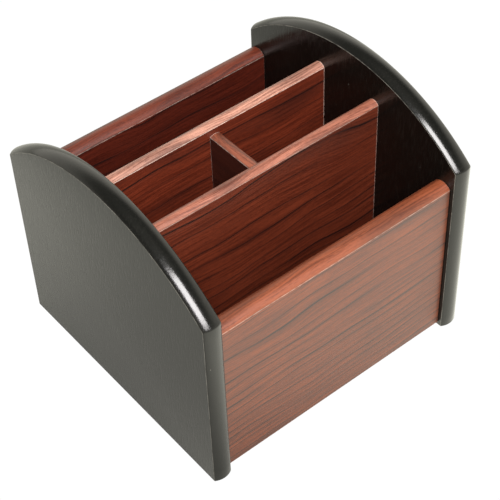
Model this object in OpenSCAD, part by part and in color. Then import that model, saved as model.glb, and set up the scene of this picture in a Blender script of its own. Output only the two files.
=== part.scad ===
// Desk organizer: two arched sides carry a front, a back and two dividers, all of them boards with a
// rounded top edge. A cross divider splits the middle pocket, and a base board closes the bottom.
// Units are millimetres. +Z is up, the front faces -Y, and the origin is on the desk, midway between
// the sides and midway from front to back.

/* [Pockets] */
// Clear width between the two sides
inside_w = 139; // [110:0.5:180]
// Depth of the front pocket
front_pocket_d = 40.7; // [30:0.1:45]
// Depth of the middle pocket, which the cross divider splits in two
middle_pocket_d = 32.7; // [25:0.1:40]

/* [Sides] */
// Thickness of a side
side_t = 10; // [9:0.5:14]
// Depth of a side between the creases of its front and back edges
side_d = 150; // [145:1:180]
// Height of a side at its front and back corners
side_corner_h = 105.8; // [100:1:120]
// Rise of the arched top above those corners
side_rise = 28.3; // [18:0.1:40]
// How far the rounded edge of a side swells past its creases
edge_swell = 1.6; // [0.5:0.1:2.5]
// Gap between the bottom of a side and the desk
side_gap = 0.5; // [0.2:0.1:1]

/* [Front and back] */
// Thickness of the front and back panels
panel_t = 10; // [9:0.5:14]
// Height of their crests above the desk
panel_top = 97.8; // [70:0.1:104]
// Rise of the rounded top edge over the panel's thickness
panel_crown = 2.6; // [1:0.1:4]
// How far the front panel stands back from the front creases of the sides
front_inset = 2.2; // [0.5:0.1:4]
// How far the back panel stands in from the back creases of the sides
back_inset = 0.9; // [0.5:0.1:4]

/* [Dividers] */
// Thickness of the two long dividers
divider_t = 6.4; // [5.5:0.1:8]
// Height of their crests above the desk
divider_top = 117; // [90:0.5:125]
// Rise of their rounded top edge
divider_crown = 1.8; // [0.8:0.1:2.6]
// Thickness of the cross divider
cross_t = 6; // [5:0.1:8]
// Height of the cross divider's crest above the desk
cross_top = 111.9; // [60:0.1:112]
// Rise of its rounded top edge
cross_crown = 0.9; // [0.5:0.1:2]

/* [Base] */
// Thickness of the base board
base_t = 5; // [4:0.5:8]
// Depth of the rebate and of the grooves that hold the base and the dividers
seat_depth = 3; // [2:0.5:4]
// Depth of the grooves in the dividers that hold the cross divider
cross_seat_depth = 2; // [1:0.1:2.2]

/* [Fastenings] */
// Diameter of the dowels that join the front and back panels to the sides
dowel_d = 5; // [4:0.5:6]
// Length of a dowel
dowel_len = 22; // [16:1:30]
// Depth of the blind dowel holes in the sides
dowel_side_depth = 6.5; // [5:0.1:7]
// Heights of the two dowels at each corner, above the desk
dowel_low = 26; // [18:1:35]
dowel_high = 74; // [45:1:80]
// Shank diameter of the countersunk screws from the base into the dividers
screw_d = 2.6; // [2:0.1:3]
// Length of a screw
screw_len = 18; // [14:1:25]
// Distance of a screw from the middle of its divider
screw_x = 42; // [20:1:45]

/* [Pads] */
// Diameter of the stick-on pads under the base board
pad_d = 14; // [8:1:18]
// Thickness of a pad, which is also the height of the base board above the desk
pad_t = 2; // [1.5:0.1:3]
// Distance of each pad's centre from the edges of the base board
pad_margin = 15; // [12:1:20]

/* [Hidden] */
$fn = 96;

side_color = [0.10, 0.075, 0.06];
board_color = [0.50, 0.23, 0.16];
dowel_color = [0.80, 0.66, 0.46];
screw_color = [0.72, 0.70, 0.62];
pad_color = [0.12, 0.12, 0.12];

eps = 0.01;
cut_over = 1;
half_w = inside_w / 2;

// Front faces of the boards, from front to back
front_y = -side_d / 2 + front_inset;
divider_front_y = front_y + panel_t + front_pocket_d;
divider_rear_y = divider_front_y + divider_t + middle_pocket_d;
back_y = side_d / 2 - back_inset - panel_t;

// The arched top is an arc through both top corners of a side
arch_r = arc_radius(side_d, side_rise);
arch_z = side_gap + side_corner_h + side_rise - arch_r;
swell_r = arc_radius(side_t, edge_swell);

// Levels of the base board
base_z = pad_t;
base_top = base_z + base_t;
base_front = front_y + panel_t - seat_depth;
base_back = back_y + seat_depth;

dowel_r = dowel_d / 2;
dowel_chamfer = 0.6;
dowel_hole_spare = 0.5;
screw_r = screw_d / 2;
screw_head_r = screw_d;
screw_tip = 2.5;
recess_w = 0.7;
recess_depth = 1;
pad_round = 0.5;

// Radius of the arc that rises by "rise" over a straight line "chord" long
function arc_radius(chord, rise) = (pow(chord / 2, 2) + pow(rise, 2)) / (2 * rise);

// Section across a board, standing on the first axis, with an arc along its top
module crowned_section(thickness, height, crown) {
    crown_r = arc_radius(thickness, crown);
    intersection() {
        square([thickness, height]);
        union() {
            square([thickness, height - crown]);
            translate([thickness / 2, height - crown_r]) circle(r = crown_r);
        }
    }
}

// Board along X, centred on X = 0, from its front face and its bottom edge up
module crowned_board(length, thickness, height, crown) {
    translate([-length / 2, 0, 0])
        rotate([90, 0, 90])
            linear_extrude(length) crowned_section(thickness, height, crown);
}

// Plan of a side, centred, with the rounded edge at its front and its back
module side_plan() {
    intersection() {
        square([side_t, side_d + 4 * edge_swell], center = true);
        union() {
            square([side_t + cut_over, side_d - 2 * swell_r], center = true);
            for (end = [-1, 1])
                translate([0, end * (side_d / 2 + edge_swell - swell_r)]) circle(r = swell_r);
        }
    }
}

// Radial section of the disc whose rim is the rounded arch of a side
module rim_section() {
    rim_w = side_t + cut_over;
    rim_centre = arch_r + edge_swell - swell_r;
    translate([0, -rim_w / 2]) square([rim_centre, rim_w]);
    intersection() {
        translate([0, -rim_w / 2]) square([arch_r + 2 * edge_swell, rim_w]);
        translate([rim_centre, 0]) circle(r = swell_r);
    }
}

// A side without its grooves and holes; the two rounded edges meet in a mitre at each top corner
module side_blank() {
    intersection() {
        translate([0, 0, side_gap])
            linear_extrude(side_corner_h + side_rise + 2 * edge_swell) side_plan();
        translate([0, 0, arch_z])
            rotate([0, 90, 0])
                rotate_extrude($fn = 360) rim_section();
    }
}

// A long divider before it is cut, as wide as the grooves in the sides are deep
module divider_blank(y) {
    translate([0, y, base_top])
        crowned_board(inside_w + 2 * seat_depth, divider_t, divider_top - base_top, divider_crown);
}

// The room that the base board takes, open downwards
module base_seat() {
    translate([-half_w - seat_depth, base_front, base_z - 2 * cut_over])
        cube([inside_w + 2 * seat_depth, base_back - base_front, base_t + 2 * cut_over]);
}

// The cross divider, whose ends stand in grooves in both dividers
module cross_blank() {
    length = middle_pocket_d + 2 * cross_seat_depth;
    translate([0, divider_front_y + divider_t - cross_seat_depth + length / 2, base_top])
        rotate([0, 0, 90])
            translate([0, -cross_t / 2, 0])
                crowned_board(length, cross_t, cross_top - base_top, cross_crown);
}

// Places its children at both heights of the dowels in one corner
module at_dowels(side, panel_y) {
    for (z = [dowel_low, dowel_high])
        translate([side * half_w, panel_y + panel_t / 2, z])
            rotate([0, side * 90, 0]) children();
}

// Blind holes for the dowels of one corner, in the side and in the end of the panel
module dowel_holes(side, panel_y) {
    hole_len = dowel_len + 2 * dowel_hole_spare;
    at_dowels(side, panel_y)
        translate([0, 0, dowel_side_depth + dowel_hole_spare - hole_len])
            cylinder(r = dowel_r, h = hole_len);
}

// One chamfered dowel that ends in the blind hole of the side
module dowel() {
    translate([0, 0, dowel_side_depth - dowel_len])
        rotate_extrude()
            polygon([
                [0, 0],
                [dowel_r - dowel_chamfer, 0],
                [dowel_r, dowel_chamfer],
                [dowel_r, dowel_len - dowel_chamfer],
                [dowel_r - dowel_chamfer, dowel_len],
                [0, dowel_len]
            ]);
}

module dowels(side, panel_y) {
    color(dowel_color) at_dowels(side, panel_y) dowel();
}

// Places its children at both screws of a divider, on the underside of the base board
module at_screws(y) {
    for (side = [-1, 1])
        translate([side * screw_x, y + divider_t / 2, base_z]) children();
}

// Outline of a countersunk screw, head down
module screw_blank() {
    rotate_extrude()
        polygon([
            [0, 0],
            [screw_head_r, 0],
            [screw_r, screw_head_r - screw_r],
            [screw_r, screw_len - screw_tip],
            [0, screw_len]
        ]);
}

module screw() {
    difference() {
        screw_blank();
        for (turn = [0, 90])
            rotate([0, 0, turn])
                translate([-screw_r, -recess_w / 2, -eps])
                    cube([2 * screw_r, recess_w, recess_depth + eps]);
    }
}

module screws(y) {
    color(screw_color) at_screws(y) screw();
}

// Side on the right (side = 1) or on the left (side = -1)
module side_board(side) {
    color(side_color)
        difference() {
            translate([side * (half_w + side_t / 2), 0, 0]) side_blank();
            divider_blank(divider_front_y);
            divider_blank(divider_rear_y);
            base_seat();
            dowel_holes(side, front_y);
            dowel_holes(side, back_y);
        }
}

// Panel between the sides, rebated for the base board
module panel(y) {
    color(board_color)
        difference() {
            translate([0, y, base_z])
                crowned_board(inside_w, panel_t, panel_top - base_z, panel_crown);
            base_seat();
            for (side = [-1, 1]) dowel_holes(side, y);
        }
}

module divider(y) {
    color(board_color)
        difference() {
            divider_blank(y);
            cross_blank();
            at_screws(y) screw_blank();
        }
}

module side_left() { side_board(-1); }
module side_right() { side_board(1); }
module front_panel() { panel(front_y); }
module back_panel() { panel(back_y); }
module divider_front() { divider(divider_front_y); }
module divider_rear() { divider(divider_rear_y); }
module cross_divider() { color(board_color) cross_blank(); }

module base_board() {
    color(board_color)
        difference() {
            translate([-half_w - seat_depth, base_front, base_z])
                cube([inside_w + 2 * seat_depth, base_back - base_front, base_t]);
            at_screws(divider_front_y) screw_blank();
            at_screws(divider_rear_y) screw_blank();
        }
}

module dowels_front_left() { dowels(-1, front_y); }
module dowels_front_right() { dowels(1, front_y); }
module dowels_back_left() { dowels(-1, back_y); }
module dowels_back_right() { dowels(1, back_y); }
module screws_divider_front() { screws(divider_front_y); }
module screws_divider_rear() { screws(divider_rear_y); }

// Stick-on pad with a softened lower edge, at one corner of the base board
module pad(x_side, y) {
    pad_r = pad_d / 2;
    color(pad_color)
        translate([x_side * (half_w + seat_depth - pad_margin), y, 0])
            rotate_extrude()
                polygon([
                    [0, 0],
                    [pad_r - pad_round, 0],
                    [pad_r, pad_round],
                    [pad_r, pad_t],
                    [0, pad_t]
                ]);
}

module pad_front_left() { pad(-1, base_front + pad_margin); }
module pad_front_right() { pad(1, base_front + pad_margin); }
module pad_back_left() { pad(-1, base_back - pad_margin); }
module pad_back_right() { pad(1, base_back - pad_margin); }

side_left();
side_right();
front_panel();
back_panel();
divider_front();
divider_rear();
cross_divider();
base_board();
dowels_front_left();
dowels_front_right();
dowels_back_left();
dowels_back_right();
screws_divider_front();
screws_divider_rear();
pad_front_left();
pad_front_right();
pad_back_left();
pad_back_right();
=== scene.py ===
from math import cos, e, pi, radians, sin

import bmesh
import bpy
import numpy as np
from mathutils import Matrix, Vector


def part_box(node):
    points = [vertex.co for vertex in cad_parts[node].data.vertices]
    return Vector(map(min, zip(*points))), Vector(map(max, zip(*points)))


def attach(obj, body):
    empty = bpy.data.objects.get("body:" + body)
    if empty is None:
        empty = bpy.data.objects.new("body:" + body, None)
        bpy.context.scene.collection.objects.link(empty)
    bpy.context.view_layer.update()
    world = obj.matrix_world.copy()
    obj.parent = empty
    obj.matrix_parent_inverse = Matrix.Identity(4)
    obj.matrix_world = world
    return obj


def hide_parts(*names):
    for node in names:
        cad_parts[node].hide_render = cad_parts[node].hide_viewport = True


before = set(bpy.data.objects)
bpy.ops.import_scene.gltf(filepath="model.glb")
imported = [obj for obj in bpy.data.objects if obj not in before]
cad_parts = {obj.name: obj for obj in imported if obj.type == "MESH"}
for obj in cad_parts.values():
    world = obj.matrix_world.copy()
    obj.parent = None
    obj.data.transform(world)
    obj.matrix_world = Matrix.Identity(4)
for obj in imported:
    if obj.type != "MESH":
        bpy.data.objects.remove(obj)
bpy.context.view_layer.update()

mm = 0.001
tiny = 0.001 * mm  # corners this close to a plane lie on it

print("stage: node tools")


def addNode(tree, kind, inputs=None, **settings):
    made = tree.nodes.new(kind)
    for key, value in settings.items():
        setattr(made, key, value)
    for key, value in (inputs or {}).items():
        if isinstance(value, bpy.types.NodeSocket):
            tree.links.new(value, made.inputs[key])
        else:
            made.inputs[key].default_value = value
    return made


def calc(tree, operation, *values):
    return addNode(tree, "ShaderNodeMath", dict(enumerate(values)), operation=operation).outputs[0]


def stretchedNoise(tree, vector, scale, shift=(0, 0, 0), detail=2.0, roughness=0.5, distortion=0.0):
    # noise whose blotches are 1/scale metres long along each axis
    placed = addNode(tree, "ShaderNodeMapping", {"Vector": vector, "Location": shift, "Scale": scale})
    settings = {"Vector": placed.outputs[0], "Scale": 1.0, "Detail": detail, "Roughness": roughness,
                "Distortion": distortion}
    return addNode(tree, "ShaderNodeTexNoise", settings).outputs["Fac"]


def rangeOf(tree, value, low, high, toLow=0.0, toHigh=1.0, smooth=True):
    kind = "SMOOTHSTEP" if smooth else "LINEAR"
    settings = {"Value": value, "From Min": low, "From Max": high, "To Min": toLow, "To Max": toHigh}
    return addNode(tree, "ShaderNodeMapRange", settings, interpolation_type=kind).outputs["Result"]


def mixColors(tree, factor, a, b):
    # inputs 0, 6 and 7 of a colour mix are its factor and its two colours, output 2 is the mixed colour
    return addNode(tree, "ShaderNodeMix", {0: factor, 6: a, 7: b}, data_type="RGBA").outputs[2]


def newGroup(name, inputs, outputs):
    # every socket is a number except the one called Vector
    group = bpy.data.node_groups.new(name, "ShaderNodeTree")
    for way, labels in (("INPUT", inputs), ("OUTPUT", outputs)):
        for label in labels:
            kind = "NodeSocketVector" if label == "Vector" else "NodeSocketFloat"
            group.interface.new_socket(name=label, in_out=way, socket_type=kind)
    return group, group.nodes.new("NodeGroupInput").outputs, group.nodes.new("NodeGroupOutput").inputs


def newPaint(name):
    paint = bpy.data.materials.new(name)
    paint.use_nodes = True
    return paint, paint.node_tree, paint.node_tree.nodes["Principled BSDF"]


def objectSpot(tree):
    return addNode(tree, "ShaderNodeTexCoord").outputs["Object"]


def linkPaint(tree, shader, color, rough, height, look, invert=False):
    # a paint's colour and roughness, and its fine relief as a bump
    tree.links.new(color, shader.inputs["Base Color"])
    tree.links.new(rough, shader.inputs["Roughness"])
    settings = {"Height": height, "Strength": look["relief"], "Distance": look["reliefDepth"]}
    bump = addNode(tree, "ShaderNodeBump", settings, invert=invert)
    tree.links.new(bump.outputs[0], shader.inputs["Normal"])


print("stage: camera, floor and light")

camera = dict(
    aim=(0.45 * mm, -6.10 * mm, 50.12 * mm),  # the point that the lens axis passes through
    azimuth=-37.621,
    elevation=45.478,
    roll=2.412,  # degrees, clockwise seen from behind the camera
    distance=707.5 * mm,
    lens=102.24,
)


def buildCamera(c):
    # the camera stands off its aim point along the direction given by azimuth and elevation
    azimuth, elevation = radians(c["azimuth"]), radians(c["elevation"])
    back = Vector((sin(azimuth) * cos(elevation), -cos(azimuth) * cos(elevation), sin(elevation)))
    data = bpy.data.cameras.new("camera")
    data.lens = c["lens"]
    data.sensor_width = 36
    data.clip_start = 0.01
    data.clip_end = 100
    cam = bpy.data.objects.new("camera", data)
    turn = (-back).to_track_quat("-Z", "Y").to_matrix() @ Matrix.Rotation(radians(-c["roll"]), 3, "Z")
    cam.matrix_world = Matrix.Translation(Vector(c["aim"]) + back * c["distance"]) @ turn.to_4x4()
    bpy.context.scene.collection.objects.link(cam)
    bpy.context.scene.camera = cam


studio = dict(
    floorSize=40.0,
    floorDrop=0.1 * mm,  # just below the pads
    floorColor=(0.20, 0.20, 0.182, 1),
    floorRoughness=0.9,
    glowColor=(1.0, 0.99, 0.85, 1),
    farGlow=0.46,  # glow of the floor a hand's width away from the organizer
    farFrom=(0.05, 0.20),  # distances from its middle between which that glow sets in
    frontGlow=1.15,  # extra glow to the right of the front
    frontTowards=(0.6, -0.8, 0),
    frontFrom=(0.0, 0.10),  # distances in that direction between which it sets in
    seenGlow=1.02,  # brightness of the floor where the camera sees it
    skyColor=(1.0, 0.965, 0.85, 1),
    skyLow=1.40,  # brightness of the surroundings near the horizon
    skyMiddle=0.32,
    skyTop=0.55,
    skySide=0.40,  # how much brighter the low part is towards +X, and darker towards -X
    middleFrom=(0.42, 0.78),  # sines of the heights between which low turns into middle
    topFrom=(0.85, 1.0),  # and middle into top
    seenSky=(1, 1, 1, 1),  # colour of the surroundings where the camera sees them
)

# the softbox stands off its aim point in the direction "towards" and faces it, its height along "along"
keyLight = dict(
    aim=(0, -50 * mm, 115 * mm),
    towards=(-0.285, -0.488, 0.809),
    along=(0, 0.8, 0.5),
    distance=0.8,
    size=(0.40, 0.403),
    radiance=35,
    fill=13,  # further radiance that lights the boards but isn't reflected by the lacquer
    color=(1.0, 0.985, 1.0),
)


def buildSoftbox(name, s, radiance, reflected=True):
    away = Vector(s["towards"]).normalized()
    along = Vector(s["along"])
    along = (along - away * along.dot(away)).normalized()
    turn = Matrix((along.cross(away), along, away)).transposed()
    lamp = bpy.data.lights.new(name, "AREA")
    lamp.shape = "RECTANGLE"
    lamp.size, lamp.size_y = s["size"]
    lamp.energy = radiance * pi * s["size"][0] * s["size"][1]
    lamp.color = s["color"]
    box = bpy.data.objects.new(name, lamp)
    box.visible_glossy = reflected
    box.matrix_world = Matrix.Translation(Vector(s["aim"]) + away * s["distance"]) @ turn.to_4x4()
    bpy.context.scene.collection.objects.link(box)


def buildStudio(s):
    view = bpy.context.scene.view_settings
    view.view_transform = "Standard"
    view.look = "None"

    half, z = s["floorSize"] / 2, -s["floorDrop"]
    mesh = bpy.data.meshes.new("floor")
    corners = [(-half, -half, z), (half, -half, z), (half, half, z), (-half, half, z)]
    mesh.from_pydata(corners, [], [(0, 1, 2, 3)])
    floor = bpy.data.objects.new("floor", mesh)
    bpy.context.scene.collection.objects.link(floor)
    paint, tree, shader = newPaint("paleFloor")
    shader.inputs["Base Color"].default_value = s["floorColor"]
    shader.inputs["Roughness"].default_value = s["floorRoughness"]
    shader.inputs["Specular IOR Level"].default_value = 0.0
    shader.inputs["Emission Color"].default_value = s["glowColor"]
    spot = objectSpot(tree)
    away = addNode(tree, "ShaderNodeVectorMath", {0: spot}, operation="LENGTH").outputs["Value"]
    farGlow = rangeOf(tree, away, *s["farFrom"], 0.0, s["farGlow"])
    forward = addNode(tree, "ShaderNodeVectorMath", {0: spot, 1: s["frontTowards"]}, operation="DOT_PRODUCT")
    frontGlow = rangeOf(tree, forward.outputs["Value"], *s["frontFrom"], 0.0, s["frontGlow"])
    tree.links.new(calc(tree, "ADD", farGlow, frontGlow), shader.inputs["Emission Strength"])
    # the camera itself sees plain white, no brighter, so that no glare eats into the organizer's outline
    seen = addNode(tree, "ShaderNodeLightPath").outputs["Is Camera Ray"]
    white = addNode(tree, "ShaderNodeEmission", {"Strength": s["seenGlow"]}).outputs[0]
    shown = addNode(tree, "ShaderNodeMixShader", {0: seen, 1: shader.outputs[0], 2: white}).outputs[0]
    tree.links.new(shown, tree.nodes["Material Output"].inputs["Surface"])
    mesh.materials.append(paint)

    world = bpy.data.worlds.new("studio")
    world.use_nodes = True
    bpy.context.scene.world = world
    tree = world.node_tree
    direction = tree.nodes.new("ShaderNodeTexCoord").outputs["Generated"]
    split = addNode(tree, "ShaderNodeSeparateXYZ", {0: direction}).outputs
    low = calc(tree, "MULTIPLY_ADD", split["X"], s["skySide"], s["skyLow"])
    rise = rangeOf(tree, split["Z"], *s["middleFrom"])
    upper = rangeOf(tree, split["Z"], *s["topFrom"], s["skyMiddle"], s["skyTop"])
    strength = calc(tree, "MULTIPLY_ADD", calc(tree, "SUBTRACT", upper, low), rise, low)
    background = tree.nodes["Background"]
    # the camera itself sees a white horizon
    seen = addNode(tree, "ShaderNodeLightPath").outputs["Is Camera Ray"]
    tree.links.new(mixColors(tree, seen, s["skyColor"], s["seenSky"]), background.inputs["Color"])
    tree.links.new(strength, background.inputs["Strength"])


buildCamera(camera)
buildStudio(studio)
buildSoftbox("keyLight", keyLight, keyLight["radiance"])
buildSoftbox("keyFill", keyLight, keyLight["fill"], reflected=False)

print("stage: mesh tools")


def cadPoints(node):
    # all corners of a CAD node's mesh, one row each
    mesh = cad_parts[node].data
    flat = np.empty(len(mesh.vertices) * 3)
    mesh.vertices.foreach_get("co", flat)
    return flat.reshape(-1, 3)


def ringSkin(name, rings, alongRing=None, acrossRings=None, capAxes=(1, 2), capShift=(0, 0)):
    # Closed skin over a stack of closed rings, an array of rings x points x 3. Quads join each ring to the
    # next, and flat faces close the first and the last. UV: distance across the rings and along them.
    ringCount, pointCount = rings.shape[:2]
    i = np.arange(ringCount - 1)[:, None]
    j = np.arange(pointCount)[None, :]
    k = (j + 1) % pointCount
    near, far = i * pointCount, (i + 1) * pointCount
    quads = np.stack([near + j, near + k, far + k, far + j], -1).reshape(-1, 4)
    firstCap = np.arange(pointCount)[::-1]
    lastCap = np.arange(pointCount) + (ringCount - 1) * pointCount
    corners = rings.reshape(-1, 3)
    # the sum of corner . (next corner x next but one) over the quads has the sign of the enclosed volume
    middle = corners.mean(0)
    a, b, c, d = (corners[quads[:, n]] - middle for n in range(4))
    if np.einsum("ij,ij->i", a, np.cross(b, c) + np.cross(c, d)).sum() < 0:
        quads, firstCap, lastCap = quads[:, ::-1], firstCap[::-1], lastCap[::-1]
    mesh = bpy.data.meshes.new(name)
    mesh.from_pydata(corners.tolist(), [], quads.tolist() + [firstCap.tolist(), lastCap.tolist()])

    if alongRing is not None:
        # the quad that closes a ring runs on to the full girth, so the pattern has one seam only
        ringOf, pointOf = np.divmod(quads, pointCount)
        closing = np.ptp(pointOf, axis=1) > 1
        pointOf = np.where(closing[:, None] & (pointOf == 0), pointCount, pointOf)
        caps = corners[np.concatenate([firstCap, lastCap])]
        sides = np.stack([acrossRings[ringOf], alongRing[pointOf]], -1).reshape(-1, 2)
        uv = np.concatenate([sides, caps[:, list(capAxes)] + np.asarray(capShift)])
        mesh.uv_layers.new(name="skin").data.foreach_set("uv", uv.astype(np.float32).ravel())
    return mesh


def turnedRings(radius, height, centre, axis=2, points=24):
    # Rings of a turned shape. Radius and height are lists along its outline, or radius is rings x points if
    # it changes round the axis too: place = centre + radius (cos a, sin a) across the axis + height along it.
    a = np.linspace(0, 2 * pi, points, endpoint=False)
    radius = np.broadcast_to(np.asarray(radius, float).reshape(len(height), -1), (len(height), points))
    height = np.broadcast_to(np.asarray(height, float)[:, None], radius.shape)
    order = {2: (0, 1, 2), 0: (2, 0, 1)}[axis]
    local = np.stack([radius * np.cos(a), radius * np.sin(a), height], -1)[..., list(order)]
    return local + np.asarray(centre)


def joinSkins(name, skins):
    # several closed skins as one mesh
    merged = bmesh.new()
    for skin in skins:
        merged.from_mesh(skin)
        bpy.data.meshes.remove(skin)
    mesh = bpy.data.meshes.new(name)
    merged.to_mesh(mesh)
    merged.free()
    return mesh


def curve(t, start, bend, end):
    # quadratic curve from start to end, drawn towards bend
    return (1 - t) ** 2 * start + 2 * t * (1 - t) * bend + t**2 * end


def boxSkin(name, low, high):
    x, y = [low[0], high[0], high[0], low[0]], [low[1], low[1], high[1], high[1]]
    return ringSkin(name, np.array([[(*xy, z) for xy in zip(x, y)] for z in (low[2], high[2])]))


def runLength(points):
    # distance travelled along a row of points, at each of them
    return np.concatenate([[0], np.cumsum(np.linalg.norm(np.diff(points, axis=0), axis=1))])


def cutAway(mesh, cutters):
    # takes the closed cutter skins out of the closed mesh and gives the result as a new mesh
    scene = bpy.context.scene
    blank = bpy.data.objects.new("blank", mesh)
    scene.collection.objects.link(blank)
    tools = []
    for cutter in cutters:
        tool = bpy.data.objects.new("cutter", cutter)
        scene.collection.objects.link(tool)
        cut = blank.modifiers.new("cut", "BOOLEAN")
        cut.operation = "DIFFERENCE"
        cut.solver = "EXACT"
        cut.object = tool
        tools.append(tool)
    bpy.context.view_layer.update()
    result = bpy.data.meshes.new_from_object(blank.evaluated_get(bpy.context.evaluated_depsgraph_get()))
    result.name = mesh.name
    for tool in [blank, *tools]:
        used = tool.data
        bpy.data.objects.remove(tool)
        bpy.data.meshes.remove(used)
    return result


def addPiece(name, mesh, slotName, materials, *nodes):
    piece = bpy.data.objects.new(name, mesh)
    for m in materials:
        mesh.materials.append(m)
    bpy.context.scene.collection.objects.link(piece)
    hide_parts(*nodes)
    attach(piece, "root")


def shadeByAngle(mesh, degrees, flatArea=10 * mm * mm):
    # Faces that meet at less than this angle shade as one smooth surface. Large plane faces shade flat, so
    # the rounded edge beside them doesn't bend their reflections.
    area = np.empty(len(mesh.polygons))
    mesh.polygons.foreach_get("area", area)
    mesh.polygons.foreach_set("use_smooth", area < flatArea)
    mesh.set_sharp_from_angle(angle=radians(degrees))


print("stage: materials")

grainLook = dict(
    # a noise's scale is one over the length of its blotches, along the grain and across it
    slow=dict(scale=(13, 26, 1), detail=1.0),
    quick=dict(scale=(45, 90, 1), shift=(3, 1, 0), detail=1.5),
    quickSway=1.7 * mm,
    lowest=-20 * mm,  # below this the lines no longer draw together
    start=1.5,
    drift=dict(scale=(1, 0.8, 1), detail=0.0),  # noise over the line number
    driftBy=1.3,
    core=(0.14 * mm, 0.44 * mm),  # distances from a line between which its crisp core ends
    softBelow=2.4 * mm,  # reach of the soft shade below a line, and its strength
    shadeBelow=0.30,
    softAbove=0.8 * mm,
    shadeAbove=0.25,
    strength=dict(scale=(16, 3.7, 1), detail=1.0),  # noise along each line and from line to line
    strengthRange=(0.32, 0.54, 0.35, 1.0),
    broken=dict(scale=(70, 900, 1), shift=(4, 4, 0), detail=2.0),
    brokenRange=(0.30, 0.45, 0.85, 1.0),
    bands=dict(scale=(14, 260, 1), shift=(7, 2, 0), detail=2.0),
    bandShare=0.25,
    threads=dict(scale=(34, 1150, 1), shift=(2, 8, 0), detail=1.5),
    threadShare=0.55,
    specks=dict(scale=(420, 1500, 1), shift=(5, 6, 0), detail=1.0),
    speckShare=0.20,
    clouds=dict(scale=(14, 75, 1), shift=(11, 5, 0), detail=3.0, roughness=0.55, distortion=0.3),
    cloudRange=(0.45, 0.72),
    cloudRise=30 * mm,  # height over which the clouds set in
    cloudLow=0.15,  # and their share below it
    pores=dict(scale=(120, 2600, 1), shift=(1, 9, 0), detail=1.0),
    poreRange=(0.58, 0.70),
)


def buildCherryGrain(look):
    # Printed cherry, u along the grain and v across it, both in metres. Dark year lines run along u, bent by
    # slow and quick noise: line number = ln(start + growth v / spacing) / growth, so their gaps grow with v.
    # Each line has a crisp core with a soft shade on both sides. With them go fine fibres, soft dark clouds
    # above a given height and short pores.
    inputs = ["Vector", "Line Spacing", "Growth", "Sway", "Line Strength", "Cloud Strength", "Clouds From"]
    group, given, result = newGroup("cherryGrain", [*inputs, "Seed"], ["Lines", "Fibres", "Clouds", "Pores"])
    seedShift = addNode(group, "ShaderNodeCombineXYZ", {"Z": given["Seed"]}).outputs[0]
    spot = addNode(group, "ShaderNodeVectorMath", {0: given["Vector"], 1: seedShift}, operation="ADD")
    spot = spot.outputs[0]
    split = addNode(group, "ShaderNodeSeparateXYZ", {0: spot}).outputs
    along, across = split["X"], split["Y"]

    slow = calc(group, "SUBTRACT", stretchedNoise(group, spot, **look["slow"]), 0.5)
    quick = calc(group, "SUBTRACT", stretchedNoise(group, spot, **look["quick"]), 0.5)
    bent = calc(group, "MULTIPLY_ADD", slow, given["Sway"], across)
    bent = calc(group, "MULTIPLY_ADD", quick, look["quickSway"], bent)
    flow = addNode(group, "ShaderNodeCombineXYZ", {"X": along, "Y": bent, "Z": given["Seed"]}).outputs[0]

    ratio = calc(group, "DIVIDE", given["Growth"], given["Line Spacing"])
    stretched = calc(group, "MAXIMUM", bent, look["lowest"])
    stretched = calc(group, "MULTIPLY_ADD", stretched, ratio, look["start"])
    count = calc(group, "DIVIDE", calc(group, "LOGARITHM", stretched, e), given["Growth"])
    onLine = addNode(group, "ShaderNodeCombineXYZ", {"Y": count, "Z": given["Seed"]}).outputs[0]
    drift = stretchedNoise(group, onLine, **look["drift"])
    count = calc(group, "MULTIPLY_ADD", drift, look["driftBy"], count)
    gap = calc(group, "MULTIPLY", stretched, given["Line Spacing"])
    above = calc(group, "MULTIPLY", calc(group, "FRACT", count), gap)
    below = calc(group, "SUBTRACT", gap, above)

    core = rangeOf(group, calc(group, "MINIMUM", above, below), *look["core"], 1.0, 0.0)
    softBelow = rangeOf(group, below, 0.0, look["softBelow"], look["shadeBelow"], 0.0, smooth=False)
    softAbove = rangeOf(group, above, 0.0, look["softAbove"], look["shadeAbove"], 0.0, smooth=False)
    shade = calc(group, "MAXIMUM", core, calc(group, "MAXIMUM", softBelow, softAbove))
    lineSpot = {"X": along, "Y": calc(group, "ROUND", count), "Z": given["Seed"]}
    onLine = addNode(group, "ShaderNodeCombineXYZ", lineSpot).outputs[0]
    strength = rangeOf(group, stretchedNoise(group, onLine, **look["strength"]), *look["strengthRange"])
    broken = rangeOf(group, stretchedNoise(group, flow, **look["broken"]), *look["brokenRange"])
    lines = calc(group, "MULTIPLY", shade, calc(group, "MULTIPLY", strength, given["Line Strength"]))
    lines = calc(group, "MULTIPLY", lines, broken)

    fibres = calc(group, "MULTIPLY", stretchedNoise(group, flow, **look["bands"]), look["bandShare"])
    for noise, share in (("threads", "threadShare"), ("specks", "speckShare")):
        fibres = calc(group, "MULTIPLY_ADD", stretchedNoise(group, flow, **look[noise]), look[share], fibres)

    clouds = rangeOf(group, stretchedNoise(group, flow, **look["clouds"]), *look["cloudRange"])
    cloudsFull = calc(group, "ADD", given["Clouds From"], look["cloudRise"])
    height = rangeOf(group, across, given["Clouds From"], cloudsFull, look["cloudLow"], 1.0)
    clouds = calc(group, "MULTIPLY", clouds, calc(group, "MULTIPLY", height, given["Cloud Strength"]))
    pores = rangeOf(group, stretchedNoise(group, flow, **look["pores"]), *look["poreRange"])
    for label, value in (("Lines", lines), ("Fibres", fibres), ("Clouds", clouds), ("Pores", pores)):
        group.links.new(value, result[label])
    return group


# noise for the edge masks: real wear on the board ends, painted highlight on the foil arrises and the lacquer
# creases
wearAndHighlightLook = dict(noise=dict(scale=(260, 260, 260), detail=3.0), brokenRange=(0.30, 0.62, 0.25, 1.0))


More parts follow.
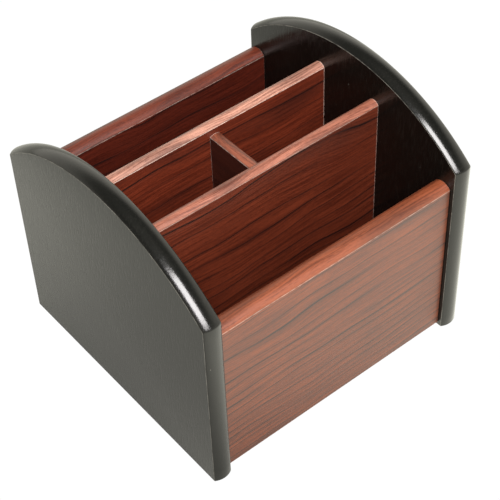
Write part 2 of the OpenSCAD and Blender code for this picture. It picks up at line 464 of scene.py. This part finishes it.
def buildEdgeWearAndHighlight(look):
    # 1 on two edges at places A and B of one coordinate, falling to 0 at the given width, broken up by noise
    inputs = ["Vector", "Coordinate", "Edge A", "Edge B", "Width"]
    group, given, result = newGroup("edgeWear", inputs, ["Wear"])
    near = [calc(group, "ABSOLUTE", calc(group, "SUBTRACT", given["Coordinate"], given[edge]))
            for edge in ("Edge A", "Edge B")]
    nearest = calc(group, "DIVIDE", calc(group, "MINIMUM", *near), given["Width"])
    edge = rangeOf(group, nearest, 0.0, 1.0, 1.0, 0.0)
    broken = rangeOf(group, stretchedNoise(group, given["Vector"], **look["noise"]), *look["brokenRange"])
    group.links.new(calc(group, "MULTIPLY", edge, broken), result["Wear"])
    return group


cherryGrain = buildCherryGrain(grainLook)
edgeWear = buildEdgeWearAndHighlight(wearAndHighlightLook)


def wearAndHighlightMask(tree, where, coordinate, edges, width):
    given = {"Vector": where, "Coordinate": coordinate, "Edge A": edges[0], "Edge B": edges[1]}
    return addNode(tree, "ShaderNodeGroup", {**given, "Width": width}, node_tree=edgeWear).outputs["Wear"]


foilColors = dict(
    light=(0.126, 0.0200, 0.0068, 1),
    warm=(0.056, 0.0078, 0.0026, 1),
    cloud=(0.026, 0.0052, 0.0030, 1),
    line=(0.006, 0.0014, 0.0010, 1),
    # pale colour of worn foil, on the arrises also a painted highlight
    worn=(0.66, 0.52, 0.44, 1),
)

foilLook = dict(
    fibreRange=(0.40, 0.60, 0.05, 1.0),
    crownOutside=0.2 * mm,  # how far the crown's colour, painted light on the lit top, reaches past its arrises
    crownInside=0.6 * mm,  # and how far inside them it is at its full strength
    crownRange=(0.40, 0.58, 0.30, 1.0),
    crownLines=-0.6,  # how much weaker the year lines are on the crown
    pores=0.35,
    arrisWidth=0.35 * mm,
    endWidth=0.45 * mm,
    roughRange=(0.2, 0.8, 0.38, 0.50),
    fibreRelief=0.5,
    relief=0.12,
    reliefDepth=0.2 * mm,
    cloudsFrom=60 * mm,  # the values from here on are those of a board that has none of its own
    # on the arrises whitened foil together with a painted highlight along them
    arrisWear=0.20,
    endWear=0.25,
)


def cherryFoil(name, arrises, ends, board):
    # a board's foil: its common values come from foilLook, its pattern and its tone from the board's own
    look = {**foilLook, **board}
    paint, tree, shader = newPaint(name)
    where = addNode(tree, "ShaderNodeUVMap", uv_map="skin").outputs[0]
    given = {"Vector": where, "Line Spacing": look["spacing"], "Growth": look["growth"], "Sway": look["sway"],
             "Line Strength": look["lines"], "Cloud Strength": look["clouds"],
             "Clouds From": look["cloudsFrom"], "Seed": look["seed"]}
    grain = addNode(tree, "ShaderNodeGroup", given, node_tree=cherryGrain).outputs
    # this board's tone makes the common colours darker or lighter; on the cross divider that is painted shade
    toned = {key: (*(t * c for t, c in zip(look["tone"], value)), 1) for key, value in foilColors.items()}
    fibre = rangeOf(tree, grain["Fibres"], *look["fibreRange"], smooth=False)
    color = mixColors(tree, fibre, toned["warm"], toned["light"])

    split = addNode(tree, "ShaderNodeSeparateXYZ", {0: where}).outputs
    # the crown gets its own colour: painted light that makes the lit top lighter than the faces, streaked by
    # the fibres
    outside, inside = look["crownOutside"], look["crownInside"]
    onCrown = rangeOf(tree, split["Y"], arrises[0] - outside, arrises[0] + inside)
    pastCrown = rangeOf(tree, split["Y"], arrises[1] - inside, arrises[1] + outside)
    onCrown = calc(tree, "SUBTRACT", onCrown, pastCrown)
    grainy = rangeOf(tree, grain["Fibres"], *look["crownRange"], smooth=False)
    color = mixColors(tree, calc(tree, "MULTIPLY", onCrown, grainy), color, (*look["crown"], 1))

    color = mixColors(tree, grain["Clouds"], color, toned["cloud"])
    lineShare = calc(tree, "MULTIPLY_ADD", onCrown, look["crownLines"], 1.0)
    color = mixColors(tree, calc(tree, "MULTIPLY", grain["Lines"], lineShare), color, foilColors["line"])
    color = mixColors(tree, calc(tree, "MULTIPLY", grain["Pores"], look["pores"]), color, foilColors["line"])
    # the arrises get whitened foil with a painted highlight, the ends get worn pale foil
    for coordinate, edges, width, share in (("Y", arrises, "arrisWidth", "arrisWear"),
                                            ("X", ends, "endWidth", "endWear")):
        worn = wearAndHighlightMask(tree, where, split[coordinate], edges, look[width])
        color = mixColors(tree, calc(tree, "MULTIPLY", worn, look[share]), color, foilColors["worn"])
    rough = rangeOf(tree, grain["Fibres"], *look["roughRange"], smooth=False)
    raised = calc(tree, "MULTIPLY", grain["Fibres"], look["fibreRelief"])
    linkPaint(tree, shader, color, rough, calc(tree, "SUBTRACT", raised, grain["Pores"]), look)
    return paint


lacquerLook = dict(
    flow=dict(scale=(60, 60, 12), shift=(2, 3, 5), detail=2.0),
    dark=(0.0011, 0.0013, 0.0011, 1),
    light=(0.0022, 0.0023, 0.0019, 1),
    streaks=dict(scale=(700, 700, 90), detail=3.0, roughness=0.6),
    pores=dict(scale=(1500, 1500, 170), shift=(9, 4, 1), detail=1.0),
    poreRange=(0.52, 0.66),
    pore=(0.0052, 0.0050, 0.0042, 1),
    specks=dict(scale=(700, 700, 420), shift=(5, 1, 2), detail=1.0),
    speckRange=(0.80, 0.83, 0.0, 0.5),
    speck=(0.10, 0.095, 0.08, 1),
    # the creases get a painted highlight in a pale colour
    creaseWidth=0.22 * mm,
    creaseWear=0.8,
    worn=(0.130, 0.122, 0.105, 1),
    roughRange=(0.3, 0.7, 0.15, 0.20),
    indexOfRefraction=1.39,
    tint=(1.0, 0.985, 0.96, 1),
    faceRange=(0.4, 0.6, 0.2, 1.0),  # the skin's coordinate is above 0.5 m on the two flat faces only
    relief=0.3,
    reliefDepth=0.1 * mm,
)


def sideLacquer(creases, look):
    # Thin lacquer over open-grained wood whose grain runs up. The pores show as faint ticks in colour and,
    # mostly on the flat faces, in relief. There are streaks in the gloss and a few specks of dust, and a
    # painted highlight runs along the creases beside the rounded edge.
    paint, tree, shader = newPaint("sideLacquer")
    where = objectSpot(tree)
    flow = stretchedNoise(tree, where, **look["flow"])
    streaks = stretchedNoise(tree, where, **look["streaks"])
    pores = rangeOf(tree, stretchedNoise(tree, where, **look["pores"]), *look["poreRange"])
    specks = rangeOf(tree, stretchedNoise(tree, where, **look["specks"]), *look["speckRange"])
    color = mixColors(tree, flow, look["dark"], look["light"])
    color = mixColors(tree, calc(tree, "MULTIPLY", pores, streaks), color, look["pore"])
    color = mixColors(tree, specks, color, look["speck"])
    skin = addNode(tree, "ShaderNodeUVMap", uv_map="skin").outputs[0]
    across = addNode(tree, "ShaderNodeSeparateXYZ", {0: skin}).outputs["X"]
    # painted highlight along the creases beside the rounded edge
    worn = wearAndHighlightMask(tree, where, across, creases, look["creaseWidth"])
    color = mixColors(tree, calc(tree, "MULTIPLY", worn, look["creaseWear"]), color, look["worn"])
    rough = rangeOf(tree, streaks, *look["roughRange"], smooth=False)
    shader.inputs["IOR"].default_value = look["indexOfRefraction"]
    shader.inputs["Specular Tint"].default_value = look["tint"]
    depth = calc(tree, "MULTIPLY", pores, rangeOf(tree, across, *look["faceRange"]))
    linkPaint(tree, shader, color, rough, depth, look, invert=True)
    return paint


hardboardLook = dict(
    ground=dict(scale=(90, 90, 90), detail=3.0),
    dark=(0.16, 0.085, 0.040, 1),
    light=(0.23, 0.130, 0.065, 1),
    threads=dict(scale=(1400, 260, 900), detail=3.0, roughness=0.7, distortion=1.5),
    threadRange=(0.52, 0.70),
    darkThread=(0.085, 0.042, 0.020, 1),
    crossed=dict(scale=(260, 1400, 900), shift=(3, 2, 1), detail=3.0, roughness=0.7, distortion=1.5),
    crossedRange=(0.56, 0.74),
    lightThread=(0.34, 0.215, 0.125, 1),
    groundRange=(0.3, 0.7),
    roughness=(0.55, 0.72),
    relief=0.35,
    reliefDepth=0.2 * mm,
)


def hardboard(look):
    # pressed brown fibres: short dark and light threads in all directions over a mottled ground
    paint, tree, shader = newPaint("hardboard")
    where = objectSpot(tree)
    ground = stretchedNoise(tree, where, **look["ground"])
    threads = stretchedNoise(tree, where, **look["threads"])
    crossed = stretchedNoise(tree, where, **look["crossed"])
    color = mixColors(tree, rangeOf(tree, ground, *look["groundRange"]), look["dark"], look["light"])
    color = mixColors(tree, rangeOf(tree, threads, *look["threadRange"]), color, look["darkThread"])
    color = mixColors(tree, rangeOf(tree, crossed, *look["crossedRange"]), color, look["lightThread"])
    rough = rangeOf(tree, ground, *look["groundRange"], *look["roughness"])
    linkPaint(tree, shader, color, rough, threads, look)
    return paint


beechLook = dict(
    years=dict(scale=(20, 900, 500), detail=2.0),
    yearRange=(0.35, 0.65),
    dark=(0.56, 0.36, 0.18, 1),
    light=(0.70, 0.50, 0.29, 1),
    flecks=dict(scale=(420, 2600, 2600), shift=(4, 0, 0), detail=1.0),
    fleckRange=(0.62, 0.72, 0.0, 0.6),
    fleck=(0.30, 0.155, 0.065, 1),
    roughRange=(0.3, 0.7, 0.50, 0.65),
    relief=0.3,
    reliefDepth=0.1 * mm,
)


def dowelBeech(look):
    # pale beech: faint year lines and short brown flecks along the dowel
    paint, tree, shader = newPaint("dowelBeech")
    where = objectSpot(tree)
    years = stretchedNoise(tree, where, **look["years"])
    flecks = stretchedNoise(tree, where, **look["flecks"])
    color = mixColors(tree, rangeOf(tree, years, *look["yearRange"]), look["dark"], look["light"])
    color = mixColors(tree, rangeOf(tree, flecks, *look["fleckRange"]), color, look["fleck"])
    linkPaint(tree, shader, color, rangeOf(tree, years, *look["roughRange"]), flecks, look, invert=True)
    return paint


zincLook = dict(
    drift=dict(scale=(500, 500, 300), detail=2.0),
    driftRange=(0.35, 0.65),
    grey=(0.62, 0.60, 0.55, 1),
    straw=(0.74, 0.62, 0.36, 1),
    scratches=dict(scale=(900, 6000, 900), shift=(1, 7, 2), detail=2.0),
    roughRange=(0.35, 0.65, 0.24, 0.42),
    relief=0.15,
    reliefDepth=0.05 * mm,
)


def screwZinc(look):
    # yellow-passivated zinc: colour drifts from straw to grey, fine scratches in the gloss
    paint, tree, shader = newPaint("screwZinc")
    where = objectSpot(tree)
    shader.inputs["Metallic"].default_value = 1.0
    drift = stretchedNoise(tree, where, **look["drift"])
    scratches = stretchedNoise(tree, where, **look["scratches"])
    color = mixColors(tree, rangeOf(tree, drift, *look["driftRange"]), look["grey"], look["straw"])
    linkPaint(tree, shader, color, rangeOf(tree, scratches, *look["roughRange"]), scratches, look)
    return paint


rubberLook = dict(
    cellScale=1900.0,
    dust=dict(scale=(240, 240, 240), detail=4.0, roughness=0.7),
    dustRange=(0.52, 0.78, 0.0, 0.5),
    black=(0.020, 0.020, 0.021, 1),
    dusty=(0.13, 0.125, 0.115, 1),
    roughRange=(0.4, 0.7, 0.62, 0.85),
    relief=0.3,
    reliefDepth=0.1 * mm,
)


def padRubber(look):
    # matt black rubber with a fine cellular skin and pale dust on it
    paint, tree, shader = newPaint("padRubber")
    where = objectSpot(tree)
    cells = addNode(tree, "ShaderNodeTexVoronoi", {"Vector": where, "Scale": look["cellScale"]})
    cells = cells.outputs["Distance"]
    dust = stretchedNoise(tree, where, **look["dust"])
    color = mixColors(tree, rangeOf(tree, dust, *look["dustRange"]), look["black"], look["dusty"])
    linkPaint(tree, shader, color, rangeOf(tree, dust, *look["roughRange"]), cells, look)
    return paint


print("stage: sides")

sideLook = dict(
    edgeSoft=0.35 * mm,  # how far the crease between a flat face and the rounded edge is softened
    mitreSoft=0.5 * mm,  # and the mitres at the corners
    creasePart=0.6,  # the part of edgeSoft at which the painted highlight along the crease is strongest
    bulgeSteps=20,
    softSteps=4,
    archSteps=120,
    edgeSteps=16,
)


def sideShape(node):
    # outline of a side as the CAD model has it: straight edges up to the corners and an arc between them
    points = cadPoints(node)
    faceX = points[np.abs(points[:, 0]).argmax(), 0]
    face = points[np.abs(points[:, 0] - faceX) < tiny]
    half = face[:, 1].max()
    corner = face[face[:, 1] > half - tiny][:, 2].max()
    rise = face[:, 2].max() - corner
    arcR = (half**2 + rise**2) / (2 * rise)
    thick = np.ptp(points[:, 0])
    return dict(faceX=faceX, inward=-np.sign(faceX), thick=thick, half=half, bottom=points[:, 2].min(),
                arcR=arcR, arcZ=corner + rise - arcR, swell=points[:, 1].max() - half)


def bulgeProfile(thick, swell, look):
    # Across the edge of a side, from one flat face to the other: a soft crease, an arc that rises by the
    # swell, and the second crease. Gives the distance from the outer face and how far the surface stands out.
    r = ((thick / 2) ** 2 + swell**2) / (2 * swell)
    end = np.arcsin(thick / 2 / r)
    soft = look["edgeSoft"]
    turn = np.linspace(-end + soft / r, end - soft / r, look["bulgeSteps"] + 1)
    across, out = r * np.sin(turn), r * np.cos(turn) - (r - swell)
    t = np.linspace(0, 1, look["softSteps"] + 1)[:-1]
    creaseX = curve(t, -thick / 2, -thick / 2, across[0])
    creaseOut = curve(t, -soft, 0, out[0])
    across = np.concatenate([creaseX, across, -creaseX[::-1]])
    out = np.concatenate([creaseOut, out, creaseOut[::-1]])
    return across + thick / 2, out


def blendCorner(corner, start, end, steps):
    # a curve round one corner of each ring: rings x steps x 2
    t = np.linspace(0, 1, steps + 1)[None, :, None]
    return curve(t, start[:, None], corner[:, None], end[:, None])


def sideRings(s, look):
    # One ring per profile step. Each ring runs up the front edge, over the arch at radius arcR + out, down
    # the back edge and back along the flat bottom. The straight edges stand out as far as the arch does, so
    # they meet it in a mitre.
    across, out = bulgeProfile(s["thick"], s["swell"], look)
    h, r = s["half"] + out, s["arcR"] + out
    sunk = np.minimum(out, 0)
    soft = look["mitreSoft"]
    start = np.arccos(h / r)  # angle of the corner above the horizontal through the arc's centre
    cornerZ = s["arcZ"] + r * np.sin(start)
    corner = np.stack([-h, cornerZ], 1)
    along = np.stack([np.sin(start), np.cos(start)], 1)  # the arch's direction at the front corner
    top = blendCorner(corner, corner - [[0, soft]], corner + along * soft, look["softSteps"])
    t = np.linspace(0, 1, look["edgeSteps"])[None, :]
    low = s["bottom"] - sunk
    base = np.stack([-h, low], 1)
    foot = blendCorner(base, base + [[soft, 0]], base + [[0, soft]], look["softSteps"])
    upZ = (low + soft)[:, None] * (1 - t) + (cornerZ - soft)[:, None] * t
    up = np.stack([np.broadcast_to(-h[:, None], upZ.shape), upZ], -1)[:, 1:-1]
    a0 = (start + soft / r)[:, None]
    t = np.linspace(0, 1, look["archSteps"])[None, :]
    angle = (pi - a0) * (1 - t) + (pi / 2) * t
    arch = np.stack([r[:, None] * np.cos(angle), s["arcZ"] + r[:, None] * np.sin(angle)], -1)[:, 1:]
    front = np.concatenate([foot, up, top, arch], 1)
    back = (front * [-1, 1])[:, ::-1][:, 1:]
    yz = np.concatenate([front, back], 1)
    x = s["faceX"] + s["inward"] * across
    rings = np.concatenate([np.broadcast_to(x[:, None, None], yz.shape[:2] + (1,)), yz], -1)
    middle = yz[len(yz) // 2]
    return rings, runLength(np.append(middle, middle[:1], 0)), runLength(np.stack([across, out], 1))


print("stage: boards")

boardLook = dict(
    arris=0.6 * mm,  # how far the corners beside the rounded top are softened
    foot=0.6 * mm,  # and the two bottom corners
    end=0.25 * mm,  # bevel round each end
    softSteps=6,
    crownSteps=14,
    lengthSteps=40,
)


def boardRings(node, look, axis=0):
    # Section of a crowned board, closed, carried along its length: front face up, softened arris, the arc of
    # the crown, arris, back face down. The rings at both ends shrink by the bevel. Gives the rings, the
    # distances round them and along the board, and where round them the two arrises lie.
    low, high = (np.array(c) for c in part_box(node))
    points = cadPoints(node)
    side = 1 - axis
    arrisZ = points[points[:, side] < low[side] + tiny][:, 2].max()
    crown, thick = high[2] - arrisZ, high[side] - low[side]
    r = ((thick / 2) ** 2 + crown**2) / (2 * crown)
    turn = np.arcsin(thick / 2 / r)
    reach = look["arris"] / r
    bend = np.linspace(-turn + reach, turn - reach, look["crownSteps"] + 1)
    middle = (low[side] + high[side]) / 2
    arc = np.stack([middle + r * np.sin(bend), high[2] - r + r * np.cos(bend)], 1)
    t = np.linspace(0, 1, look["softSteps"] + 1)[:-1, None]
    corner, faceEnd = np.array([low[side], arrisZ]), np.array([low[side], arrisZ - look["arris"]])
    soft = curve(t, faceEnd, corner, arc[0])
    mirrored = (soft * [-1, 1] + [2 * middle, 0])[::-1]
    foot = look["foot"]
    face = [[low[side], low[2] + foot]]
    bottom = [[high[side], low[2] + foot], [high[side] - foot, low[2]], [low[side] + foot, low[2]]]
    section = np.concatenate([face, soft, arc, mirrored, bottom])
    # outward normals of the closed section, by the difference of its neighbours
    run = np.roll(section, -1, 0) - np.roll(section, 1, 0)
    normal = np.stack([-run[:, 1], run[:, 0]], 1) / np.linalg.norm(run, axis=1, keepdims=True)
    ends = low[axis], high[axis]
    stations = np.linspace(ends[0] + look["end"], ends[1] - look["end"], look["lengthSteps"])
    stations = np.concatenate([[ends[0]], stations, [ends[1]]])
    shrink = np.zeros(len(stations))
    shrink[[0, -1]] = look["end"]
    ring = section[None] - normal[None] * shrink[:, None, None]
    lengthwise = np.broadcast_to(stations[:, None, None], ring.shape[:2] + (1,))
    rings = [lengthwise, ring] if axis == 0 else [ring[..., :1], lengthwise, ring[..., 1:]]
    steps = np.linalg.norm(np.roll(section, -1, 0) - section, axis=1)
    girth = np.concatenate([[0], np.cumsum(steps)])
    first = 1 + look["softSteps"] // 2
    arrises = girth[first], girth[first + len(soft) + len(arc)]
    return np.concatenate(rings, -1), girth, stations, arrises


# each board's tone (the cross divider's dark tone is painted shade), the colour of its crown (painted light,
# the lit top lighter than the faces), and its values for the cherry grain, in metres
boards = {
    "front_panel": dict(tone=(0.84, 1.15, 0.88), crown=(0.138, 0.034, 0.0125), spacing=0.0022, growth=0.058,
                        sway=0.009, lines=1.0, clouds=0.60, cloudsFrom=0.060, seed=1.0, end=0.4 * mm),
    "back_panel": dict(tone=(0.40, 0.30, 0.28), crown=(0.084, 0.0135, 0.0040), spacing=0.0056, growth=0.060,
                       sway=0.018, lines=1.2, clouds=0.35, seed=2.0, end=0.4 * mm),
    "divider_front": dict(tone=(0.64, 0.66, 0.62), crown=(0.200, 0.071, 0.043), spacing=0.0026, growth=0.072,
                          sway=0.014, lines=1.2, clouds=0.8, cloudsFrom=0.080, seed=3.0),
    # the rear divider's arrises get a stronger painted highlight
    "divider_rear": dict(tone=(0.69, 0.64, 0.58), crown=(0.315, 0.152, 0.105), spacing=0.0044, growth=0.050,
                         sway=0.012, lines=0.9, clouds=0.6, seed=4.0, arrisWear=0.5, endWear=0.4),
    # the cross divider's dark tone is painted shade, it stands deep between the dividers
    "cross_divider": dict(tone=(0.20, 0.20, 0.19), crown=(0.160, 0.044, 0.0215), spacing=0.0050, growth=0.050,
                          sway=0.008, lines=0.8, clouds=0.4, seed=5.0),
}


def boardSkin(name, node, look):
    # the whole board before it is cut, and where its arrises lie round the section
    look = {**boardLook, **look}
    rings, girth, stations, arrises = boardRings(node, look, axis=int(node == "cross_divider"))
    return ringSkin(name, rings, girth, stations), arrises


def screwPlaces(node):
    # centres of the two screws of a node, with their head and shank radius and their length
    low, high = (np.array(c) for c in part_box(node))
    headR = (high[1] - low[1]) / 2
    centres = [np.array([x, (low[1] + high[1]) / 2, low[2]]) for x in (low[0] + headR, high[0] - headR)]
    points = cadPoints(node) - centres[1]
    shank = points[(points[:, 0] > -2 * headR) & (points[:, 2] > 2 * headR)]
    return centres, headR, np.hypot(shank[:, 0], shank[:, 1]).max(), high[2] - low[2]


def dowelPlaces(node):
    # near ends of the two dowels of a node, with their radius and length
    low, high = (np.array(c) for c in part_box(node))
    r = (high[1] - low[1]) / 2
    starts = [np.array([low[0], (low[1] + high[1]) / 2, z]) for z in (low[2] + r, high[2] - r)]
    return starts, r, high[0] - low[0]


boardSharp = 30  # degrees, the angle from which the faces of sides and boards meet in a sharp edge

jointLook = dict(
    dowelSpare=0.05 * mm,  # how much wider than a dowel its hole is
    depthSpare=0.5 * mm,  # and how much deeper at each end
    openBelow=5 * mm,  # how far the rebate's cutter reaches past the bottom
    conePast=1 * mm,
    points=32,  # round each hole
)


def baseCutter(look):
    low, high = (np.array(c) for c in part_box("base_board"))
    return boxSkin("cutter", low - [0, 0, look["openBelow"]], high)


def dowelCutters(nodes, look):
    cutters = []
    for node in nodes:
        starts, r, length = dowelPlaces(node)
        heights = [-look["depthSpare"], length + look["depthSpare"]]
        for start in starts:
            rings = turnedRings([r + look["dowelSpare"]] * 2, heights, start, axis=0, points=look["points"])
            cutters.append(ringSkin("cutter", rings))
    return cutters


def screwCutters(node, look):
    # countersunk holes as deep as the screws, with the cone carried on past the face that it starts from
    centres, headR, shankR, length = screwPlaces(node)
    past = look["conePast"]
    radius, height = [headR + past, headR, shankR, shankR], [-past, 0, headR - shankR, length]
    return [ringSkin("cutter", turnedRings(radius, height, c, points=look["points"])) for c in centres]


sides = {name: sideRings(sideShape(name), sideLook) for name in ("side_left", "side_right")}
acrossEdge = sides["side_left"][2]
creaseAt = sideLook["edgeSoft"] * sideLook["creasePart"]
lacquer = sideLacquer((creaseAt, acrossEdge[-1] - creaseAt), lacquerLook)

for name, shape in sides.items():
    skin = ringSkin(name + "_lacquered", *shape, capShift=(1, 0))
    end = name.split("_")[1]
    cutters = [baseCutter(jointLook)]
    cutters += [boardSkin("cutter", node, boards[node])[0] for node in ("divider_front", "divider_rear")]
    cutters += dowelCutters(["dowels_front_" + end, "dowels_back_" + end], jointLook)
    skin = cutAway(skin, cutters)
    shadeByAngle(skin, boardSharp)
    addPiece(name + "_lacquered", skin, "side_lacquer", [lacquer], name)

print("stage: foiled boards")

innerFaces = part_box("side_left")[1].x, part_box("side_right")[0].x
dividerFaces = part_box("divider_front")[1].y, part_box("divider_rear")[0].y

for name, look in boards.items():
    skin, arrises = boardSkin(name + "_foiled", name, look)
    ends = innerFaces
    if name == "cross_divider":
        ends = dividerFaces
    elif name.endswith("_panel"):
        row = name.split("_")[0]
        dowels = dowelCutters([f"dowels_{row}_left", f"dowels_{row}_right"], jointLook)
        skin = cutAway(skin, [baseCutter(jointLook), *dowels])
    else:
        groove = boardSkin("cutter", "cross_divider", boards["cross_divider"])[0]
        skin = cutAway(skin, [groove, *screwCutters("screws_" + name, jointLook)])
    shadeByAngle(skin, boardSharp)
    foil = cherryFoil(name + "_foil", arrises, ends, look)
    addPiece(name + "_foiled", skin, "cherry_board", [foil], name)

print("stage: base, fastenings and pads")

baseLook = dict(bevel=0.2 * mm, tone=(0.7, 0.7, 0.7), crown=(0.1, 0.03, 0.015), spacing=0.0070, growth=0.030,
                sway=0.016, lines=0.7, clouds=0.5, seed=6.0)


def baseSkin(name, look):
    # a plain board with small bevels, drilled and countersunk for the screws
    low, high = (np.array(c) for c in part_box("base_board"))
    bevel = look["bevel"]
    rings = []
    for z, inset in ((low[2], bevel), (low[2] + bevel, 0), (high[2] - bevel, 0), (high[2], bevel)):
        x, y = (low[0] + inset, high[0] - inset), (low[1] + inset, high[1] - inset)
        rings.append([(x[0], y[0], z), (x[1], y[0], z), (x[1], y[1], z), (x[0], y[1], z)])
    rings = np.array(rings)
    perimeter = runLength(np.append(rings[1], rings[1][:1], 0))
    skin = ringSkin(name, rings, perimeter, rings[:, 0, 2], capAxes=(0, 1))
    nodes = ("screws_divider_front", "screws_divider_rear")
    return cutAway(skin, [cutter for node in nodes for cutter in screwCutters(node, jointLook)])


skin = baseSkin("base_board_foiled", baseLook)
shadeByAngle(skin, boardSharp)
# its edges lie hidden in the rebate, so the arrises and ends, with their worn pale colour, painted highlight
# and the crown's painted light, are put 1 m away
foil = cherryFoil("base_board_foil", (-1, -1), (-1, 1), baseLook)
addPiece("base_board_foiled", skin, "cherry_board", [foil, hardboard(hardboardLook)], "base_board")
up = np.empty(len(skin.polygons) * 3)
skin.polygons.foreach_get("normal", up)
skin.polygons.foreach_set("material_index", (up[2::3] < 0.5).astype(np.int32))  # only the top is foiled

screwLook = dict(
    pitch=1.3 * mm,
    threadDepth=0.30 * mm,
    ridge=0.30,  # half width of the thread's ridge, as a part of the pitch
    tip=2.5 * mm,
    tipEnd=0.03,  # radius at the very tip, as a part of the shank's
    rimSoft=0.12 * mm,
    recessWidth=0.8 * mm,
    recessReach=1.75 * mm,
    recessDepth=1.1 * mm,
    recessSlope=0.22 * mm,
    faceRings=18,
    coneRings=4,
    turnRings=8,  # in each turn of the thread
    points=48,
    sharp=40,  # degrees
)


def screwRings(centre, headR, shankR, length, look):
    # Head down. The outline goes over the head's face, up the countersink and the threaded shank to the tip.
    # The face sinks where |x| or |y| is under half the recess's width. Shank: radius = shank - depth (1 -
    # ridge), where the ridge is 1 at frac(height / pitch - a / 2 pi) = 1/2 and falls to 0 on both sides.
    a = np.linspace(0, 2 * pi, look["points"], endpoint=False)[None, :]
    rim = headR - look["rimSoft"]
    r = np.linspace(0.02, 1, look["faceRings"])[:, None] * rim + 0 * a
    x, y = np.abs(r * np.cos(a)), np.abs(r * np.sin(a))
    width, reach, slope = look["recessWidth"], look["recessReach"], look["recessSlope"]
    slots = [np.clip((width / 2 - u) / slope + 0.5, 0, 1) * np.clip((reach - v) / slope + 0.5, 0, 1)
             for u, v in ((x, y), (y, x))]
    sink = look["recessDepth"] * np.maximum(*slots)
    neck = headR - shankR
    h = np.linspace(look["rimSoft"], neck, look["coneRings"])[:, None] + 0 * a
    cone = headR - (h - look["rimSoft"]) * (headR - shankR) / (neck - look["rimSoft"])
    z = np.arange(neck, length, look["pitch"] / look["turnRings"])[1:, None] + 0 * a
    turn = (z / look["pitch"] - a / (2 * pi)) % 1
    ridge = np.clip(1 - np.abs(turn - 0.5) / look["ridge"], 0, 1)
    taper = np.clip((length - z) / look["tip"], look["tipEnd"], 1)
    shank = (shankR - look["threadDepth"] * (1 - ridge)) * taper
    radius = np.concatenate([r, cone, shank])
    height = np.concatenate([sink, h, z])
    return np.stack([radius * np.cos(a), radius * np.sin(a), height], -1) + centre


dowelLook = dict(chamfer=0.6 * mm, flutes=20, fluteDepth=0.22 * mm, points=120, sharp=35)


def dowelRings(start, r, length, look):
    # fluted dowel along X: radius = r - depth (1 - cos(flutes a)) / 2, chamfered at both ends
    a = np.linspace(0, 2 * pi, look["points"], endpoint=False)
    flute = look["fluteDepth"] * (1 - np.cos(look["flutes"] * a)) / 2
    height = np.array([0, look["chamfer"], length / 2, length - look["chamfer"], length])
    radius = r - flute[None, :] - np.array([look["chamfer"], 0, 0, 0, look["chamfer"]])[:, None]
    return turnedRings(radius, height, start, axis=0, points=look["points"])


padLook = dict(
    round=0.6 * mm,
    roundSteps=6,
    upperRound=0.2 * mm,
    grooves=(0.36, 0.68),  # radius of each, as a part of the pad's
    grooveWidth=0.45 * mm,
    grooveDepth=0.35 * mm,
    grooveShape=((1.6, 0), (1, 0.4), (0.5, 1)),  # half of it: part of half the width, part of the depth
    points=64,
    sharp=50,
)


def padRings(node, look):
    # Turned about Z: from the middle of the underside out over the ring grooves, round the lower rim in a
    # quarter circle and up the wall to a small upper round.
    low, high = (np.array(c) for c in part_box(node))
    r, thick = (high[0] - low[0]) / 2, high[2] - low[2]
    outline = [(0.01 * r, 0)]
    half = np.array(look["grooveShape"]) * (look["grooveWidth"] / 2, look["grooveDepth"])
    groove = np.concatenate([half * (-1, 1), half[::-1]])
    for part in look["grooves"]:
        outline += (groove + (part * r, 0)).tolist()
    t = np.linspace(0, pi / 2, look["roundSteps"] + 1)
    soft, small = look["round"], look["upperRound"]
    outline += zip(r - soft + soft * np.sin(t), soft - soft * np.cos(t))
    outline += [(r, thick - small), (r - 0.3 * small, thick - 0.3 * small), (r - small, thick)]
    radius, height = np.array(outline).T
    centre = np.array([(low[0] + high[0]) / 2, (low[1] + high[1]) / 2, low[2]])
    return turnedRings(radius, height, centre, points=look["points"])


zinc, beech, rubber = screwZinc(zincLook), dowelBeech(beechLook), padRubber(rubberLook)
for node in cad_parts:
    if node.startswith("screws_"):
        centres, *size = screwPlaces(node)
        skins = [ringSkin("screw", screwRings(c, *size, screwLook)) for c in centres]
        kind, slotName, paint, look = "_threaded", "screw_zinc", zinc, screwLook
    elif node.startswith("dowels_"):
        starts, *size = dowelPlaces(node)
        skins = [ringSkin("dowel", dowelRings(start, *size, dowelLook)) for start in starts]
        kind, slotName, paint, look = "_fluted", "dowel_wood", beech, dowelLook
    elif node.startswith("pad_"):
        skins = [ringSkin("pad", padRings(node, padLook))]
        kind, slotName, paint, look = "_moulded", "pad_rubber", rubber, padLook
    else:
        continue
    skin = joinSkins(node + kind, skins)
    shadeByAngle(skin, look["sharp"])
    addPiece(node + kind, skin, slotName, [paint], node)
